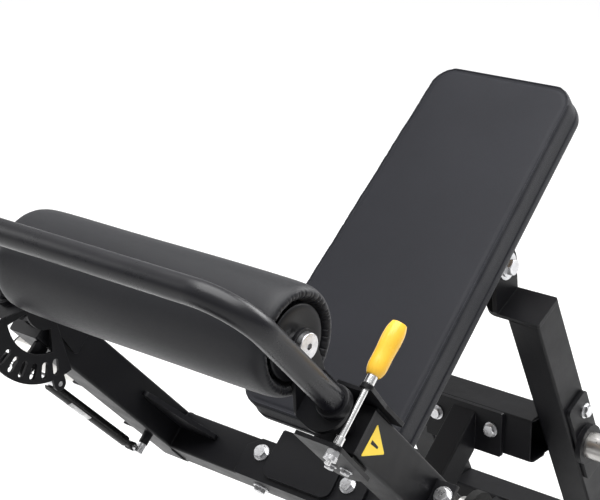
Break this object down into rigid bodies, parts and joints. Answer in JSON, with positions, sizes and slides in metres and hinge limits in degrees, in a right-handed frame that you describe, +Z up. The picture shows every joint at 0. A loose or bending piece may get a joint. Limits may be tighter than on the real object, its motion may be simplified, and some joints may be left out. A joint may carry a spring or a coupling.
{
  "type": "hip thrust machine",
  "caption": "Plate-loaded hip press: a swinging frame with back pad, hip roller, bent handle tube and weight horns, carried on a floor frame with foot plate.",
  "frame": {"origin": "on the floor, at the middle of the machine's length and width", "axes": "+X the machine's right, +Y its back (the pad and pivot end), +Z up"},
  "size_m": [1.19, 1.745, 0.9296],
  "materials": {
    "powder_coat": "satin",
    "handle_coat": "matte",
    "black_plastic": "matte",
    "black_rubber": "matte",
    "zinc": "satin",
    "ground_steel": "polished",
    "core_steel": "plain",
    "bronze": "satin",
    "satin_steel": "satin",
    "gas_chrome": "polished",
    "gas_black": "gloss",
    "pad_vinyl": "satin vinyl",
    "roller_vinyl": "satin vinyl",
    "plywood": "matte",
    "yellow_grip": "gloss"
  },
  "bodies": {
    "base": {"cross_feet": "powder_coat", "foot_end_caps": "black_plastic", "rubber_feet": "black_rubber", "base_center_rail": "powder_coat", "rear_struts": "powder_coat", "pivot_brackets": "powder_coat", "rear_upper_crossbeam": "powder_coat", "center_brace": "powder_coat", "frame_bolts": "zinc", "stop_post": "powder_coat", "stop_bumper": "black_rubber", "pivot_shaft": "ground_steel", "pivot_bolts": "zinc", "storage_plates": "powder_coat", "storage_horns": "satin_steel", "storage_horn_caps": "black_plastic", "foot_plate": "powder_coat", "platform_frame": "powder_coat", "platform_posts": "powder_coat"},
    "press_frame": {"arm_right": "powder_coat", "arm_left": "powder_coat", "corner_gussets": "powder_coat", "arm_end_caps": "black_plastic", "hinge_lugs": "powder_coat", "cross_member": "powder_coat", "pad_bracket": "powder_coat", "arm_bolts": "zinc", "pad_spine": "powder_coat", "pivot_hub": "powder_coat", "pivot_bushes": "bronze", "pad_carrier_plates": "powder_coat", "small_screws": "zinc", "back_pad": "pad_vinyl", "pad_board": "plywood", "horn_brackets": "powder_coat", "weight_horns": "satin_steel", "horn_collars": "black_rubber", "horn_end_caps": "black_plastic", "latch_flanges": "powder_coat", "latch_guide_bush": "zinc", "plunger_housing": "powder_coat", "gas_spring_bracket": "powder_coat", "carriage_hinge_pins": "zinc"},
    "carriage": {"roller_bracket_right": "powder_coat", "sector_plate": "powder_coat", "spring_front_stud": "zinc", "carriage_plates": "powder_coat", "handle_tube": "handle_coat", "roller_axle": "zinc", "axle_spacers": "zinc"},
    "roller": {"roller_sleeve": "roller_vinyl", "roller_core_tube": "core_steel", "roller_end_discs": "black_plastic", "roller_bearings": "ground_steel"},
    "pull_pin": {"pull_pin_rod": "ground_steel", "pull_pin_grip": "yellow_grip"},
    "index_plunger": {"plunger_pin": "ground_steel", "plunger_knob": "black_plastic"},
    "gas_cylinder": {"gas_spring_cylinder": "gas_black"},
    "gas_rod": {"gas_spring_rod": "gas_chrome"}
  },
  "joints": [
    {"name": "press_swing", "type": "hinge", "parent": "base", "child": "press_frame", "pos_m": [0, 0.56159, 0.65638], "axis": [-1, 0, 0], "range_deg": [0, 40]},
    {"name": "carriage_tilt", "type": "hinge", "parent": "press_frame", "child": "carriage", "pos_m": [0, -0.10463, 0.70317], "axis": [-1, 0, 0], "range_deg": [-11.7, 23.4]},
    {"name": "roller_spin", "type": "hinge", "parent": "carriage", "child": "roller", "pos_m": [0, -0.1375, 0.78], "axis": [1, 0, 0], "continuous": true},
    {"name": "pull_pin_slide", "type": "slide", "parent": "press_frame", "child": "pull_pin", "axis": [0, 0.7169, 0.6972], "range_m": [0, 0.025], "stiffness_N_per_m": 300},
    {"name": "plunger_slide", "type": "slide", "parent": "press_frame", "child": "index_plunger", "axis": [1, 0, 0], "range_m": [0, 0.012]},
    {"name": "gas_spring_swing", "type": "hinge", "parent": "press_frame", "child": "gas_cylinder", "pos_m": [-0.31, 0.10354, 0.36718], "axis": [1, 0, 0], "range_deg": [-3.8, 7.4]},
    {"name": "gas_spring_stroke", "type": "slide", "parent": "gas_cylinder", "child": "gas_rod", "axis": [0, -0.7075, 0.7067], "range_m": [-0.022, 0.044]}
  ],
  "couplings": [
    {"joint": "gas_spring_swing", "follows": "carriage_tilt", "ratio": 0.3075},
    {"joint": "gas_spring_stroke", "follows": "carriage_tilt", "m_per_rad": 0.1064}
  ]
}
